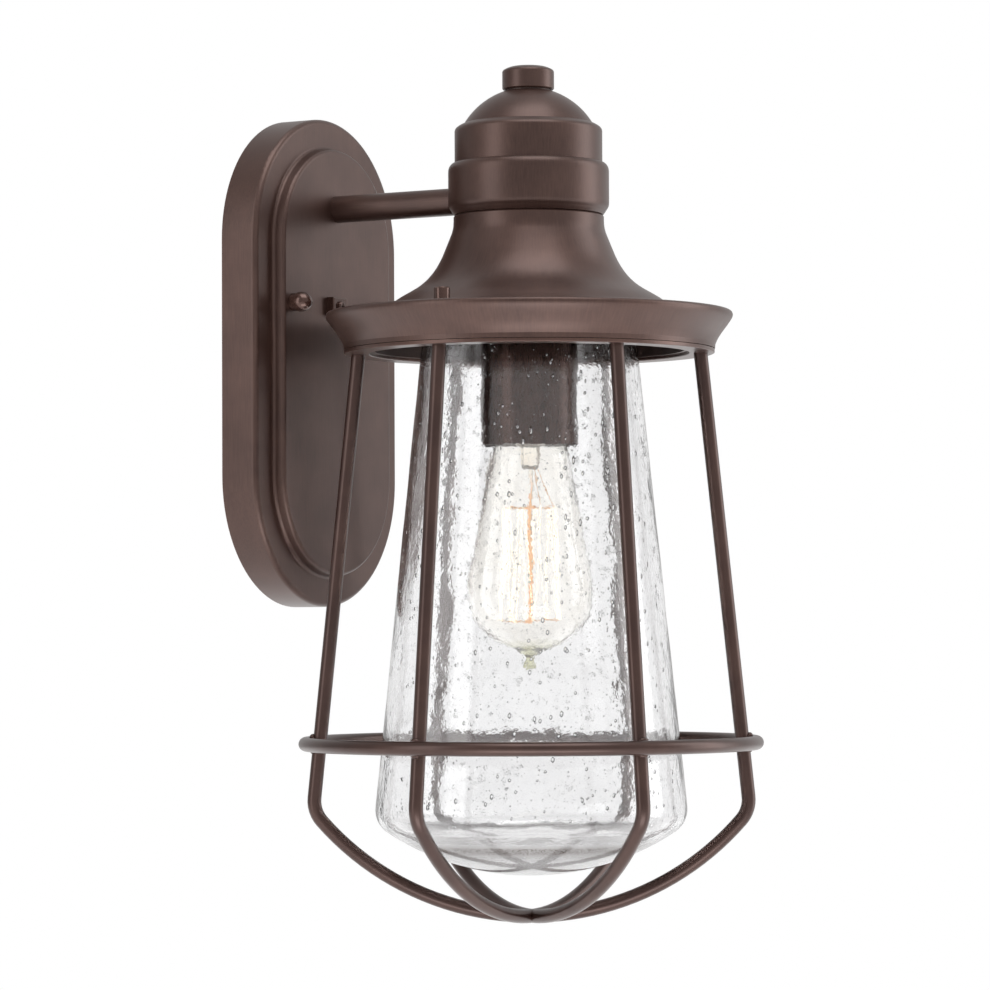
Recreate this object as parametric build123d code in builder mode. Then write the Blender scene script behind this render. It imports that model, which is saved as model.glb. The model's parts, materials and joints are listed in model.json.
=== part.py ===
from build123d import *
import os
from math import asin, cos, degrees, radians, sin, sqrt

# Outdoor wall lantern: a stamped wall plate, a straight arm, a turned crown and bell hood,
# and a six-rod cage that holds a seeded glass shade around a filament bulb.
# Millimetres. +Z is up, the wall is the plane Y = 0 and the lantern projects towards -Y.
# The origin is the centre of the outlet box, on the wall plane.

os.makedirs("parts", exist_ok=True)

# ---------------------------------------------------------------- driving dimensions

# Places of the two main groups
plate_z = -26.0            # centre of the wall plate, below the outlet box's centre
axis_y = -129.2            # vertical axis of the lantern, out from the wall
hood_z = -26.0             # underside of the hood: heights of the lantern count from here

# Wall plate
plate_width = 120.5
plate_height = 230.0
plate_depth = 19.0
plate_edge = 2.5           # rounding of the front edge
step_inset = 14.0          # raised panel, in from the plate's outer edge
step_height = 5.8
step_draft = 8.0           # degrees
step_edge = 1.8
step_root = 1.6
sheet = 1.5                # metal thickness of the stampings and spinnings
plate_face = plate_depth + step_height

# Wall fixings
box_spacing = 88.9         # outlet-box screws, 3 1/2 in apart
stud_x = 38.1              # studs, 3 in apart
strap_thick = 2.5
stud_radius = 2.08         # No. 8 screw thread
thread_gap = 0.05          # running clearance of a nut on its thread
gap = 0.1                  # hairline gap under a loose nut
stud_clear = 0.5           # radial room round a stud in a plain hole

# Arm and its threaded pipe
arm_height = 72.2
arm_radius = 6.35
arm_bore = 5.1
pipe_radius = 4.8
pipe_bore = 3.3
pipe_fit = 4.85
pipe_clear = 4.95
pipe_nut = 14.0            # across flats

# Crown: heights above the hood's underside
disc_top = 63.8            # closed top of the bell's neck
collar_radius = 36.9
collar_top = 87.6
band_radius = 33.9
band_top = 102.0
dome_radius = 34.55
dome_centre = 88.0
dome_flat = 120.5
finial_radius = 11.9
finial_base = 121.5
finial_top = 132.3
finial_thread = 3.1

# Bell and brim
brim_top = 19.3
brim_radius = 93.2
brim_edge = 2.6
skirt_foot = 1.9
skirt_radius = 85.0
neck_radius = 34.5

# Cage
rod_radius = 3.175
rod_top_radius = 78.4
rod_slope = 0.102          # outward lean of the straight rods
cage_bottom = -256.6       # centre line of the rods under the glass
cage_arc = 127.2
cage_bend = 14.0
hoop_radius = 102.95
hoop_height = -177.85
ring_inner = 73.2
ring_outer = 84.8
ring_thick = 1.6
rod_count = 6
cage_stud_radius = 76.0    # the two cage studs, out from the lantern's axis

# Glass shade
shade_top = 17.0
shade_side = 49.4          # outer radius at shade_datum
shade_datum = 3.7
shade_slope = 0.103
shade_bottom = -238.0
shade_arc = 119.0
shade_corner = 12.0
shade_wall = 3.0
lip_radius = 51.5
lip_height = 3.0

# Socket and bulb
cup_radius = 22.0
cup_wall = 1.2
cup_bottom = -42.0
cup_top = 16.0
socket_floor = -10.0
socket_bottom = -35.0
socket_bore = 14.0
shell_radius = 13.4
cap_radius = 13.0
cap_bottom = -37.0
cap_top = -16.0

# Lead wires
wire_radius = 0.9
wire_side = 1.15           # half the distance between the two leads

# ---------------------------------------------------------------- planes and helpers

lantern_axis = Axis((0, axis_y, 0), (0, 0, 1))
half_section = Plane(origin=(0, axis_y, hood_z), x_dir=(1, 0, 0), z_dir=(0, -1, 0))
up = Vector(0, 0, 1)


def level(height):
    """Horizontal plane on the lantern's axis, at a height above the hood's underside."""
    return Plane(origin=(0, axis_y, hood_z + height))


def plate_plane(depth):
    """Plane facing the room, centred on the wall plate."""
    return Plane(origin=(0, -depth, plate_z), x_dir=(1, 0, 0), z_dir=(0, -1, 0))


def box_plane(depth):
    """Plane facing the room, centred on the outlet box."""
    return Plane(origin=(0, -depth, 0), x_dir=(1, 0, 0), z_dir=(0, -1, 0))


def arm_plane(depth):
    """Plane facing the room, centred on the arm."""
    return Plane(origin=(0, -depth, hood_z + arm_height), x_dir=(1, 0, 0), z_dir=(0, -1, 0))


def toward(angle):
    """Level direction from the lantern's axis; 0 degrees is the front, 90 the right."""
    return Vector(sin(radians(angle)), -cos(radians(angle)), 0)


def around(radius, angle):
    """Place on a level plane at a radius and direction from the lantern's axis."""
    return (toward(angle) * radius).X, (toward(angle) * radius).Y


def save(piece, name):
    """Label a finished piece and write its file."""
    piece.part.label = name
    export_step(piece.part, f"parts/{name}.step")


def turned(outline):
    """Solid turned about the lantern's axis from a closed outline of radius and height."""
    with BuildPart() as form:
        with BuildSketch(half_section):
            with BuildLine():
                Polyline(*outline, close=True)
            make_face()
        revolve(axis=lantern_axis)
    return form.part


def tube(route, radii, radius):
    """Round wire along straight runs joined by arcs."""
    with BuildPart() as form:
        with BuildLine() as path:
            FilletPolyline(*route, radius=radii)
        with BuildSketch(Plane(origin=path.wire() @ 0, z_dir=path.wire() % 0)):
            Circle(radius)
        sweep(path=path.wire())
    return form.part


# ---------------------------------------------------------------- wall plate


def pan_form(inset):
    """Outside of the stamped plate, or its hollow when inset by the sheet's thickness."""
    width = plate_width - 2 * inset
    height = plate_height - 2 * inset
    with BuildPart() as form:
        with BuildSketch(plate_plane(0)):
            SlotOverall(height, width, rotation=90)
        extrude(amount=plate_depth - inset)
        fillet(form.faces().sort_by(Axis.Y)[0].edges(), plate_edge - inset)
        with BuildSketch(plate_plane(plate_depth - inset)):
            SlotOverall(height - 2 * step_inset, width - 2 * step_inset, rotation=90)
        extrude(amount=step_height, taper=step_draft)
        fillet(form.faces().sort_by(Axis.Y)[0].edges(), step_edge - inset)
        rim = form.faces().filter_by(Axis.Y).sort_by(Axis.Y)[1]
        fillet(rim.inner_wires()[0].edges(), step_root + inset)
    return form.part


block_x = -4.2
block_width = 11.3
block_height = 8.4
block_depth = 4.0
block_hole = 1.7

with BuildPart() as wall_plate:
    add(pan_form(0))
    add(pan_form(sheet), mode=Mode.SUBTRACT)
    with BuildSketch(box_plane(plate_face)):
        with Locations((-stud_x, 0), (stud_x, 0)):
            Circle(stud_radius + stud_clear)
        with Locations((0, hood_z + arm_height)):
            Circle(pipe_clear)
        with Locations((block_x, 0)):
            Circle(block_hole)
    extrude(amount=-2 * sheet, mode=Mode.SUBTRACT)
save(wall_plate, "wall_plate")

gasket_width = 5.0
gasket_depth = 4.0
with BuildPart() as wall_gasket:
    with BuildSketch(plate_plane(0)):
        SlotOverall(plate_height - 2 * sheet, plate_width - 2 * sheet, rotation=90)
        SlotOverall(
            plate_height - 2 * sheet - 2 * gasket_width,
            plate_width - 2 * sheet - 2 * gasket_width,
            rotation=90,
            mode=Mode.SUBTRACT,
        )
    extrude(amount=gasket_depth)
save(wall_gasket, "wall_gasket")

# ---------------------------------------------------------------- outlet-box fixings

strap_length = 104.0
strap_width = 20.0
slot_length = 10.0
slot_width = 4.8
strap_corner = 4.0
with BuildPart() as box_strap:
    with BuildSketch(box_plane(0)):
        RectangleRounded(strap_width, strap_length, strap_corner)
        with Locations((0, -box_spacing / 2), (0, box_spacing / 2)):
            SlotOverall(slot_length, slot_width, rotation=90, mode=Mode.SUBTRACT)
        Circle(stud_radius + thread_gap, mode=Mode.SUBTRACT)
    extrude(amount=strap_thick)
save(box_strap, "box_strap")

bar_length = 92.0
bar_width = 16.0
bar_face = 2 * strap_thick
ground_x = 18.0
ground_radius = 2.35
with BuildPart() as stud_bar:
    with BuildSketch(box_plane(strap_thick)):
        RectangleRounded(bar_length, bar_width, strap_corner)
        with Locations((-stud_x, 0), (0, 0), (stud_x, 0)):
            Circle(stud_radius + thread_gap, mode=Mode.SUBTRACT)
        with Locations((ground_x, 0)):
            Circle(ground_radius + thread_gap, mode=Mode.SUBTRACT)
    extrude(amount=strap_thick)
save(stud_bar, "stud_bar")

screw_inset = 0.3              # screw ends stop short of the wall side
pan_radius = 4.0
pan_height = 2.4
recess_length = 4.2            # crossed driver recess
recess_width = 0.8
recess_depth = 1.4
with BuildPart() as crossbar_screw:
    with BuildSketch(box_plane(screw_inset)):
        Circle(stud_radius)
    extrude(amount=bar_face - screw_inset)
    with BuildSketch(box_plane(bar_face)):
        Circle(pan_radius)
    extrude(amount=pan_height)
    fillet(crossbar_screw.faces().sort_by(Axis.Y)[0].edges(), pan_height / 2)
    with BuildSketch(box_plane(bar_face + pan_height)):
        Rectangle(recess_length, recess_width)
        Rectangle(recess_width, recess_length)
    extrude(amount=-recess_depth, mode=Mode.SUBTRACT)
save(crossbar_screw, "crossbar_screw")

lug_thick = 0.8
hex_half = 4.0                 # half the width across flats
hex_height = 3.0
hex_slot = 1.0
hex_slot_depth = 1.2
with BuildPart() as ground_screw:
    with BuildSketch(box_plane(strap_thick + screw_inset)):
        with Locations((ground_x, 0)):
            Circle(ground_radius)
    extrude(amount=strap_thick + lug_thick - screw_inset)
    with BuildSketch(box_plane(bar_face + lug_thick)):
        with Locations((ground_x, 0)):
            RegularPolygon(hex_half, 6, major_radius=False)
    extrude(amount=hex_height)
    with BuildSketch(box_plane(bar_face + lug_thick + hex_height)):
        with Locations((ground_x, 0)):
            Rectangle(2.5 * hex_half, hex_slot)
    extrude(amount=-hex_slot_depth, mode=Mode.SUBTRACT)
save(ground_screw, "ground_screw")

cap_bore_end = 6.5
with BuildPart() as mounting_studs:
    with BuildSketch(box_plane(strap_thick)):
        with Locations((-stud_x, 0), (stud_x, 0)):
            Circle(stud_radius)
    extrude(amount=plate_face + cap_bore_end - strap_thick)
save(mounting_studs, "mounting_studs")

locknut_half = 4.35            # half the width across flats
locknut_thick = 3.0
with BuildPart() as stud_locknuts:
    with BuildSketch(box_plane(bar_face)):
        with Locations((-stud_x, 0), (stud_x, 0)):
            RegularPolygon(locknut_half, 6, major_radius=False)
            Circle(stud_radius + thread_gap, mode=Mode.SUBTRACT)
    extrude(amount=locknut_thick)
save(stud_locknuts, "stud_locknuts")

# Cap nuts: a plain collar, a bead and a blunt dome, turned about the stud
cap_collar = 4.2
cap_bead = 4.63
cap_length = 10.0
cap_roof = 0.6                 # least metal over the blind bore's end


def make_cap_nut(name, x):
    """Blind domed nut on the end of one stud."""
    turn_plane = Plane(origin=(x, -plate_face - gap, 0), x_dir=(1, 0, 0), z_dir=(0, 0, -1))
    with BuildPart() as nut:
        with BuildSketch(turn_plane):
            with BuildLine():
                Polyline(
                    (stud_radius + thread_gap, 0),
                    (cap_collar, 0),
                    (cap_collar, 3.2),
                    (cap_bead, 3.5),
                    (cap_bead, 4.7),
                )
                Spline((cap_bead, 4.7), (3.4, 8.1), (0, cap_length), tangents=((0, 1), (-1, 0.15)))
                Polyline(
                    (0, cap_length),
                    (0, cap_bore_end + cap_roof),
                    (stud_radius + thread_gap, cap_bore_end + cap_roof),
                    (stud_radius + thread_gap, 0),
                )
            make_face()
        revolve(axis=Axis((x, 0, 0), (0, 1, 0)))
    save(nut, name)


make_cap_nut("cap_nut_left", -stud_x)
make_cap_nut("cap_nut_right", stud_x)

with BuildPart() as clamp_block:
    with BuildSketch(box_plane(plate_face)):
        with Locations((block_x, 0)):
            Rectangle(block_width, block_height)
    extrude(amount=block_depth)
    chamfer(clamp_block.faces().sort_by(Axis.Y)[0].edges(), 0.5)
    with BuildSketch(box_plane(plate_face)):
        with Locations((block_x, 0)):
            Circle(block_hole)
    extrude(amount=block_depth, mode=Mode.SUBTRACT)
save(clamp_block, "clamp_block")

block_face = plate_face + block_depth
clamp_shank = 1.6
clamp_reach = 6.0              # screw behind the plate's face
clamp_head = 2.5
clamp_head_height = 1.5
clamp_recess_length = 2.8
clamp_recess_width = 0.6
clamp_recess_depth = 1.0
with BuildPart() as clamp_screw:
    with BuildSketch(box_plane(plate_face - clamp_reach)):
        with Locations((block_x, 0)):
            Circle(clamp_shank)
    extrude(amount=block_depth + clamp_reach)
    with BuildSketch(box_plane(block_face)):
        with Locations((block_x, 0)):
            Circle(clamp_head)
    extrude(amount=clamp_head_height)
    fillet(clamp_screw.faces().sort_by(Axis.Y)[0].edges(), clamp_head_height / 2)
    with BuildSketch(box_plane(block_face + clamp_head_height)):
        with Locations((block_x, 0)):
            Rectangle(clamp_recess_length, clamp_recess_width)
            Rectangle(clamp_recess_width, clamp_recess_length)
    extrude(amount=-clamp_recess_depth, mode=Mode.SUBTRACT)
save(clamp_screw, "clamp_screw")

# ---------------------------------------------------------------- arm

arm_end = -axis_y - 31.0       # open end of the arm, inside the collar
arm_plug = 14.0                # threaded plug in the arm's plate end
pipe_overlap = 12.0            # pipe inside the plug
plate_back = plate_face - sheet
with BuildPart() as arm_tube:
    with BuildSketch(arm_plane(plate_face)):
        Circle(arm_radius)
        Circle(arm_bore, mode=Mode.SUBTRACT)
    extrude(amount=arm_end - plate_face)
    with BuildSketch(arm_plane(plate_face)):
        Circle(arm_bore)
        Circle(pipe_fit, mode=Mode.SUBTRACT)
    extrude(amount=arm_plug)
save(arm_tube, "arm_tube")

pipe_back = 17.0               # open end of the pipe, out from the wall
with BuildPart() as plate_pipe:
    with BuildSketch(arm_plane(pipe_back)):
        Circle(pipe_radius)
        Circle(pipe_bore, mode=Mode.SUBTRACT)
    extrude(amount=plate_face + pipe_overlap - pipe_back)
save(plate_pipe, "plate_pipe")

washer_thick = 1.0
washer_radius = 7.5
with BuildPart() as lock_washer:
    with BuildSketch(arm_plane(plate_back)):
        Circle(washer_radius)
        Circle(pipe_clear, mode=Mode.SUBTRACT)
    extrude(amount=-washer_thick)
save(lock_washer, "lock_washer")

lug_face = plate_back - washer_thick - lug_thick
plate_nut_thick = 3.4
with BuildPart() as plate_locknut:
    with BuildSketch(arm_plane(lug_face)):
        RegularPolygon(pipe_nut / 2, 6, major_radius=False)
        Circle(pipe_fit, mode=Mode.SUBTRACT)
    extrude(amount=-plate_nut_thick)
    chamfer(plate_locknut.faces().sort_by(Axis.Y)[-1].outer_wire().edges(), 0.5)
save(plate_locknut, "plate_locknut")

bushing_radius = 6.2
bushing_bore = 2.9
bushing_flange = 1.6
bushing_skirt = 1.0            # short of the locknut
with BuildPart() as wire_bushing:
    with BuildSketch(arm_plane(pipe_back)):
        Circle(bushing_radius)
        Circle(bushing_bore, mode=Mode.SUBTRACT)
    extrude(amount=-bushing_flange)
    with BuildSketch(arm_plane(pipe_back)):
        Circle(bushing_radius)
        Circle(pipe_fit, mode=Mode.SUBTRACT)
    extrude(amount=bushing_skirt)
    fillet(wire_bushing.faces().sort_by(Axis.Y)[-1].edges(), 0.6)
save(wire_bushing, "wire_bushing")

# ---------------------------------------------------------------- crown

collar_foot = 34.2             # outer radius where the collar sits on the neck
collar_low = 69.4              # straight side of the collar, from here
collar_high = 83.4             # up to here
collar_shoulder = 34.4
collar_hole = 28.0             # opening between collar and dome
with BuildPart() as neck_collar:
    with BuildSketch(half_section):
        with BuildLine():
            Polyline((collar_foot - sheet, disc_top), (collar_foot, disc_top), (35.2, 65.2))
            Spline((35.2, 65.2), (36.3, 66.9), (collar_radius, collar_low), tangents=((0.5, 1), (0, 1)))
            Line((collar_radius, collar_low), (collar_radius, collar_high))
            Spline(
                (collar_radius, collar_high),
                (36.2, 86.2),
                (collar_shoulder, collar_top),
                tangents=((0, 1), (-1, 0.3)),
            )
            Polyline(
                (collar_shoulder, collar_top),
                (collar_hole, collar_top),
                (collar_hole, collar_top - sheet),
                (collar_shoulder - 0.4, collar_top - sheet),
                (collar_radius - sheet, collar_high - 0.4),
                (collar_radius - sheet, collar_low + 0.2),
                (collar_foot, 66.4),
                (collar_foot - sheet, disc_top),
            )
        make_face()
    revolve(axis=lantern_axis)
    with BuildSketch(arm_plane(0)):
        Circle(arm_radius + thread_gap)
    extrude(amount=-axis_y, mode=Mode.SUBTRACT)
save(neck_collar, "neck_collar")

dome_inner = dome_radius - sheet
dome_step = 29.6
dome_step_height = dome_centre + sqrt(dome_radius**2 - dome_step**2)
inner_step = dome_step - 1.2
inner_step_height = dome_centre + sqrt(dome_inner**2 - inner_step**2)
washer_seat = 11.0
with BuildPart() as crown_dome:
    with BuildSketch(half_section):
        with BuildLine():
            Line((band_radius - sheet, collar_top), (band_radius, collar_top))
            Line((band_radius, collar_top), (band_radius, band_top))
            Spline(
                (band_radius, band_top),
                (32.6, 104.3),
                (dome_step, dome_step_height),
                tangents=((0, 1), (-1, 0.35)),
            )
            seat_height = dome_centre + sqrt(dome_radius**2 - washer_seat**2)
            RadiusArc((dome_step, dome_step_height), (washer_seat, seat_height), -dome_radius)
            inner_seat = dome_centre + sqrt(dome_inner**2 - washer_seat**2)
            Polyline(
                (washer_seat, seat_height),
                (washer_seat - 0.4, dome_flat),
                (finial_thread + thread_gap, dome_flat),
                (finial_thread + thread_gap, inner_seat),
                (washer_seat, inner_seat),
            )
            RadiusArc((washer_seat, inner_seat), (inner_step, inner_step_height), dome_inner)
            Polyline(
                (inner_step, inner_step_height),
                (band_radius - sheet, band_top - 0.6),
                (band_radius - sheet, collar_top),
            )
        make_face()
    revolve(axis=lantern_axis)
save(crown_dome, "crown_dome")

finial_washer_radius = 10.4
with BuildPart() as finial_washer:
    with BuildSketch(level(dome_flat)):
        Circle(finial_washer_radius)
        Circle(finial_thread + thread_gap, mode=Mode.SUBTRACT)
    extrude(amount=finial_base - gap - dome_flat)
save(finial_washer, "finial_washer")

stud_top = 127.0
finial_rim = 129.3
finial_break = 0.5             # small bevel round the finial's foot
bore_play = 0.5                # free bore over the stud's end
with BuildPart() as finial_cap:
    with BuildSketch(half_section):
        with BuildLine():
            Polyline(
                (finial_thread + thread_gap, finial_base),
                (finial_radius - finial_break, finial_base),
                (finial_radius, finial_base + finial_break),
                (finial_radius, finial_rim),
            )
            Spline(
                (finial_radius, finial_rim),
                (10.6, 131.0),
                (0, finial_top),
                tangents=((0, 1), (-1, 0)),
            )
            Polyline(
                (0, finial_top),
                (0, stud_top + bore_play),
                (finial_thread + thread_gap, stud_top + bore_play),
                (finial_thread + thread_gap, finial_base),
            )
        make_face()
    revolve(axis=lantern_axis)
save(finial_cap, "finial_cap")

yoke_base = disc_top + 3.5
yoke_top = 88.0
yoke_width = 18.0
yoke_depth = 10.0
yoke_corner = 3.0
yoke_window = 12.4
boss = 3.2                     # tapped end walls of the yoke
with BuildPart() as finial_stud:
    with BuildSketch(level(yoke_top - boss)):
        Circle(finial_thread)
    extrude(amount=stud_top - yoke_top + boss)
save(finial_stud, "finial_stud")

# Open yoke that joins the pipe below to the solid stud above and lets the leads out sideways
with BuildPart() as pipe_yoke:
    with BuildSketch(level(yoke_base)):
        RectangleRounded(yoke_width, yoke_depth, yoke_corner)
    extrude(amount=yoke_top - yoke_base)
    with BuildSketch(level(yoke_base + boss)):
        Rectangle(yoke_window, 2 * yoke_depth)
    extrude(amount=yoke_top - yoke_base - 2 * boss, mode=Mode.SUBTRACT)
    with BuildSketch(level(yoke_base)):
        Circle(pipe_fit)
    extrude(amount=boss, mode=Mode.SUBTRACT)
    with BuildSketch(level(yoke_top - boss)):
        Circle(finial_thread + thread_gap)
    extrude(amount=boss, mode=Mode.SUBTRACT)
save(pipe_yoke, "pipe_yoke")

pipe_foot = 9.5
pipe_play = 0.4                # the pipe stops short of the boss's end
with BuildPart() as centre_pipe:
    with BuildSketch(level(pipe_foot)):
        Circle(pipe_radius)
        Circle(pipe_bore, mode=Mode.SUBTRACT)
    extrude(amount=yoke_base + boss - pipe_play - pipe_foot)
save(centre_pipe, "centre_pipe")

nut_thick = 3.5
nut_feet = (cup_top - cup_wall - nut_thick, cup_top, disc_top - sheet - nut_thick, disc_top)
with BuildPart() as pipe_locknuts:
    for foot in nut_feet:
        with BuildSketch(level(foot)):
            RegularPolygon(pipe_nut / 2, 6, major_radius=False)
            Circle(pipe_fit, mode=Mode.SUBTRACT)
        extrude(amount=nut_thick)
save(pipe_locknuts, "pipe_locknuts")

# ---------------------------------------------------------------- bell hood with its brim

brim_start = 70.5              # the bell runs out into the flat brim here
skirt_wall = 1.4
skirt_straight = 4.0           # top of the skirt's upright foot
neck_straight = 61.0           # foot of the neck's upright part
with BuildPart() as bell_hood:
    with BuildSketch(half_section):
        with BuildLine():
            Polyline(
                (skirt_radius - skirt_wall, skirt_foot),
                (skirt_radius, skirt_foot),
                (skirt_radius + 0.2, skirt_straight),
            )
            Spline(
                (skirt_radius + 0.2, skirt_straight),
                (88.6, 10.0),
                (brim_radius - 0.6, 15.6),
                tangents=((0.35, 1), (0.6, 1)),
            )
            Spline(
                (brim_radius - 0.6, 15.6),
                (brim_radius, 17.2),
                (brim_radius - brim_edge, brim_top),
                tangents=((0.6, 1), (-1, 0)),
            )
            Line((brim_radius - brim_edge, brim_top), (brim_start, brim_top))
            Spline(
                (brim_start, brim_top),
                (60.3, 25.0),
                (50.3, 31.0),
                (41.0, 42.0),
                (36.3, 53.0),
                (neck_radius, neck_straight),
                tangents=((-1, 0.25), (0, 1)),
            )
            Polyline(
                (neck_radius, neck_straight),
                (neck_radius, 62.8),
                (neck_radius - 1.0, disc_top),
                (pipe_clear, disc_top),
                (pipe_clear, disc_top - sheet),
                (neck_radius - sheet, disc_top - sheet),
                (neck_radius - sheet, neck_straight),
            )
            Spline(
                (neck_radius - sheet, neck_straight),
                (34.8, 52.6),
                (39.6, 41.3),
                (49.3, 29.9),
                (59.6, 23.7),
                (brim_start, brim_top - sheet),
                tangents=((0, -1), (1, -0.25)),
            )
            Polyline(
                (brim_start, brim_top - sheet),
                (brim_radius - brim_edge, brim_top - sheet),
                (brim_radius - 2.0, 15.8),
                (87.1, 10.4),
                (skirt_radius - skirt_wall, skirt_straight),
                (skirt_radius - skirt_wall, skirt_foot),
            )
        make_face()
    revolve(axis=lantern_axis)
    with BuildSketch(level(brim_top)):
        with Locations(around(cage_stud_radius, -90), around(cage_stud_radius, 90)):
            Circle(stud_radius + stud_clear)
    extrude(amount=-3 * sheet, mode=Mode.SUBTRACT)
save(bell_hood, "bell_hood")

# ---------------------------------------------------------------- socket

cup_corner = 2.5
with BuildPart() as socket_cup:
    with BuildSketch(level(cup_bottom)):
        Circle(cup_radius)
    extrude(amount=cup_top - cup_bottom)
    fillet(socket_cup.faces().sort_by(Axis.Z)[-1].edges(), cup_corner)
    with BuildSketch(level(cup_bottom)):
        Circle(cup_radius - cup_wall)
    extrude(amount=cup_top - cup_bottom - cup_wall, mode=Mode.SUBTRACT)
    with BuildSketch(level(cup_top)):
        Circle(pipe_clear)
    extrude(amount=-2 * cup_wall, mode=Mode.SUBTRACT)
    fillet(socket_cup.faces().sort_by(Axis.Z)[0].edges(), 0.4)
save(socket_cup, "socket_cup")

body_top = 1.0
body_radius = 17.5
body_corner = 2.0
wire_hole = 4.5                # wire holes of the socket body, out from the axis
wire_hole_depth = 6.0
wire_clear = 0.1
with BuildPart() as socket_body:
    with BuildSketch(level(socket_bottom)):
        Circle(body_radius)
    extrude(amount=body_top - socket_bottom)
    fillet(socket_body.edges().group_by(Axis.Z)[-1], body_corner)
    with BuildSketch(level(socket_bottom)):
        Circle(socket_bore)
    extrude(amount=socket_floor - socket_bottom, mode=Mode.SUBTRACT)
    with BuildSketch(level(body_top)):
        with Locations((-wire_hole, 0), (wire_hole, 0)):
            Circle(wire_radius + wire_clear)
    extrude(amount=-wire_hole_depth, mode=Mode.SUBTRACT)
save(socket_body, "socket_body")

shell_inset = 0.5              # shell's mouth above the body's
with BuildPart() as socket_shell:
    with BuildSketch(level(socket_bottom + shell_inset)):
        Circle(socket_bore)
        Circle(shell_radius, mode=Mode.SUBTRACT)
    extrude(amount=socket_floor - socket_bottom - shell_inset)
save(socket_shell, "socket_shell")

cap_contact_height = 4.0       # insulator and contact over the cap
contact_gap = 0.3
contact_drop = cap_top + cap_contact_height + contact_gap
contact_length = 14.0
contact_width = 6.0
contact_thick = 0.8
with BuildPart() as socket_contact:
    with BuildSketch(level(socket_floor)):
        Rectangle(contact_length, contact_width)
    extrude(amount=-contact_thick)
    with BuildSketch(level(socket_floor - contact_thick)):
        Rectangle(contact_width, contact_width)
    extrude(amount=contact_drop - socket_floor + contact_thick)
    fillet(socket_contact.edges().group_by(Axis.Z)[0].filter_by(Axis.Y), 0.5)
save(socket_contact, "socket_contact")

# Bridge between the pipe and the socket body, with room for the leads under it
bridge_top = pipe_foot + 1.5
bridge_width = 8.0
bridge_length = 24.0
bridge_thick = 1.2
bridge_washer = 6.4
with BuildPart() as socket_bridge:
    with BuildSketch(level(body_top)):
        Rectangle(bridge_width, bridge_length)
    extrude(amount=bridge_top - body_top)
    with BuildSketch(level(body_top)):
        Rectangle(2 * bridge_width, bridge_length - 2 * bridge_thick)
    extrude(amount=bridge_top - body_top - bridge_thick, mode=Mode.SUBTRACT)
    with BuildSketch(level(bridge_top)):
        Circle(pipe_fit)
    extrude(amount=-2 * bridge_thick, mode=Mode.SUBTRACT)
    with BuildSketch(level(bridge_top - bridge_thick)):
        Circle(bridge_washer)
        Circle(pipe_fit, mode=Mode.SUBTRACT)
    extrude(amount=bridge_thick)
save(socket_bridge, "socket_bridge")

# ---------------------------------------------------------------- leads inside the arm

lead_level = arm_height + 1.2
connector_x = 27.0
connector_y = -13.0
connector_mouth = 29.0         # height of the connectors' open ends above the box's centre
connector_length = 19.0
connector_radius = 5.2
connector_draft = 5.0          # degrees
connector_hole = 2.0           # depth the lead goes in


def make_lead(name, side):
    """Insulated lead from the socket, up the pipe, through the arm and into the plate."""
    x = side * wire_side
    lead_z = hood_z + lead_level
    route = (
        (side * wire_hole, axis_y, hood_z + body_top - 5),
        (side * wire_hole, axis_y, hood_z + body_top + 1.8),
        (x, axis_y, hood_z + pipe_foot + 1),
        (x, axis_y, lead_z),
        (x, -pipe_back - 24, lead_z),
        (x, -pipe_back - 8, hood_z + arm_height),
        (x, connector_y, hood_z + arm_height),
        (side * connector_x, connector_y, hood_z + arm_height),
        (side * connector_x, connector_y, connector_mouth - connector_hole),
    )
    radii = [3.0, 4.0, 6.0, 20.0, 16.0, 2.4, 6.0]
    with BuildPart() as lead:
        add(tube(route, radii, wire_radius))
    save(lead, name)


make_lead("lead_live", -1)
make_lead("lead_neutral", 1)

with BuildPart() as wire_connectors:
    for side in (-1, 1):
        mouth = Plane(origin=(side * connector_x, connector_y, connector_mouth), z_dir=(0, 0, -1))
        with BuildSketch(mouth):
            Circle(connector_radius)
        extrude(amount=connector_length, taper=connector_draft)
        with BuildSketch(mouth):
            Circle(wire_radius)
        extrude(amount=connector_hole, mode=Mode.SUBTRACT)
save(wire_connectors, "wire_connectors")

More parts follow.
